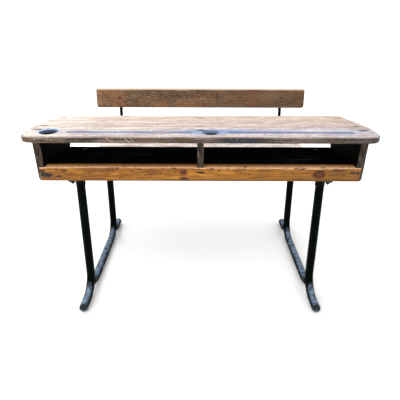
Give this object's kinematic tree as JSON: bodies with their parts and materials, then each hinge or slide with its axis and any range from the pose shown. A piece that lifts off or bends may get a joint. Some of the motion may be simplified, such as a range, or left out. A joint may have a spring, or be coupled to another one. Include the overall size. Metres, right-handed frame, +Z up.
{
  "type": "school desk",
  "caption": "Two-seat school desk with inkwell ledge, sloping board top, open book box and fixed bench with backrest on bent tube end frames.",
  "frame": {"origin": "on the floor, in the middle of the footprint", "axes": "+X along the desk to the right as seen from the ledge side, +Y from the ledge towards the bench, +Z up"},
  "size_m": [1.2, 1.0136, 0.748],
  "materials": {
    "sunbleached_top": "sun-bleached, worn open-grain boards",
    "box_board": "dark weathered boards",
    "shelf_board": "near-black stained board",
    "rail_pine": "honey-orange varnished pine",
    "seat_board": "sun-bleached, worn boards",
    "back_board": "mid-brown waxed board",
    "painted_tube": "worn dark semi-gloss paint",
    "dark_iron": "dull, slightly rusted fasteners"
  },
  "bodies": {
    "root": {"ledge_board": "sunbleached_top", "writing_board_near": "sunbleached_top", "writing_board_far": "sunbleached_top", "end_panel_left": "box_board", "end_panel_right": "box_board", "centre_divider": "box_board", "book_shelf": "shelf_board", "book_rail": "rail_pine", "seat_board_front": "seat_board", "seat_board_rear": "seat_board", "backrest_board": "back_board", "front_leg_left": "painted_tube", "runner_leg_left": "painted_tube", "rear_arm_left": "painted_tube", "rear_toe_left": "painted_tube", "back_stay_left": "painted_tube", "front_leg_right": "painted_tube", "runner_leg_right": "painted_tube", "rear_arm_right": "painted_tube", "rear_toe_right": "painted_tube", "back_stay_right": "painted_tube", "tube_caps": "painted_tube", "top_screws": "dark_iron", "rail_screws": "dark_iron", "shelf_bolts": "dark_iron", "seat_bolts": "dark_iron", "frame_nuts": "dark_iron", "backrest_bolts": "dark_iron", "backrest_nuts": "dark_iron"}
  },
  "joints": []
}
